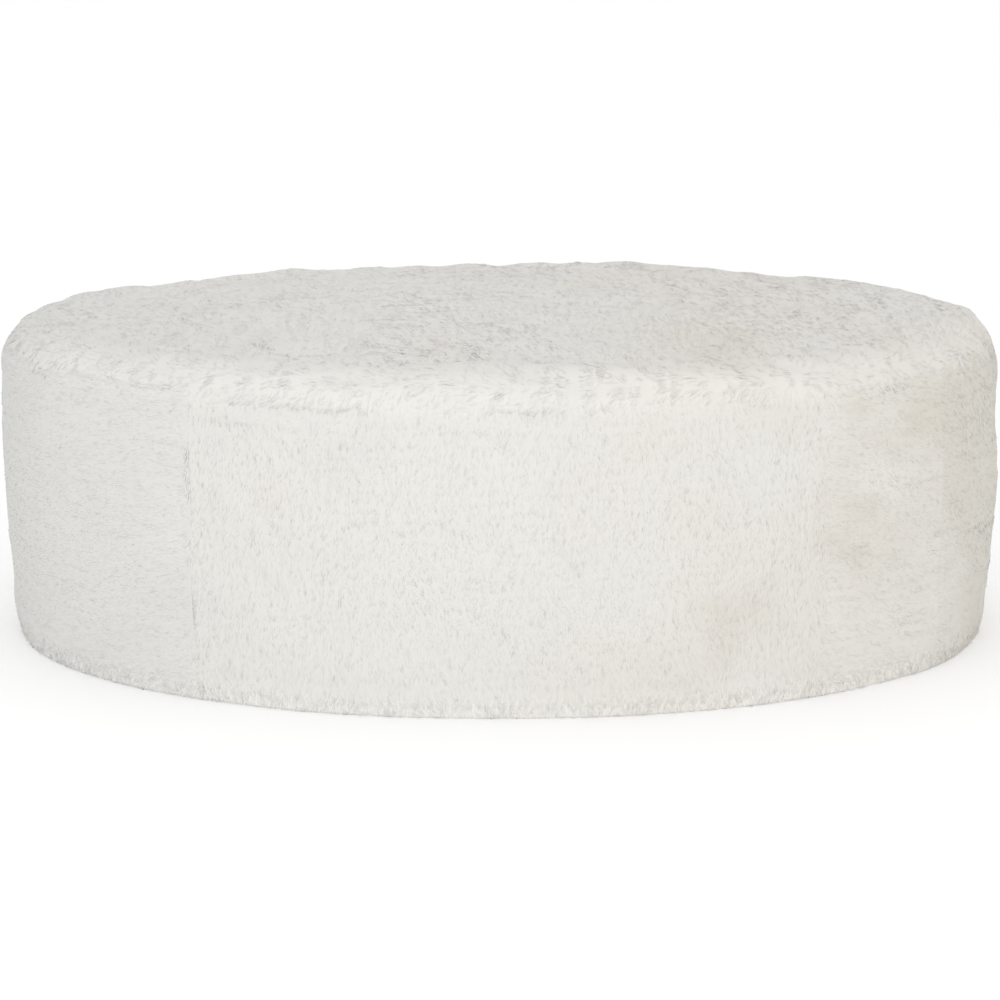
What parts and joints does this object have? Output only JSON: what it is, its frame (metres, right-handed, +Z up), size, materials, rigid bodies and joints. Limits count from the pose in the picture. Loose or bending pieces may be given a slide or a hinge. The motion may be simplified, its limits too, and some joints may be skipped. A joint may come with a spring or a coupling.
{
  "type": "upholstered ottoman",
  "caption": "Low oval ottoman with a softly crowned top, a rolled top edge and an upright wall, covered all over in long-pile off-white sheepskin.",
  "frame": {"origin": "middle of the flat underside, on the floor", "axes": "+X along the oval's long axis, towards the right-hand end as seen from the front; +Y towards the back; +Z up"},
  "size_m": [1.3516, 0.8224, 0.46],
  "materials": {
    "sheepskin": "long soft off-white pile in small pointed locks, combed down the front and sideways at the ends",
    "ticking": "plain woven natural cotton"
  },
  "bodies": {
    "root": {"filled_body": "ticking", "top_pelt": "sheepskin", "front_pelt": "sheepskin", "front_right_pelt": "sheepskin", "right_end_pelt": "sheepskin", "back_pelt": "sheepskin", "left_end_pelt": "sheepskin", "front_left_pelt": "sheepskin"}
  },
  "joints": []
}
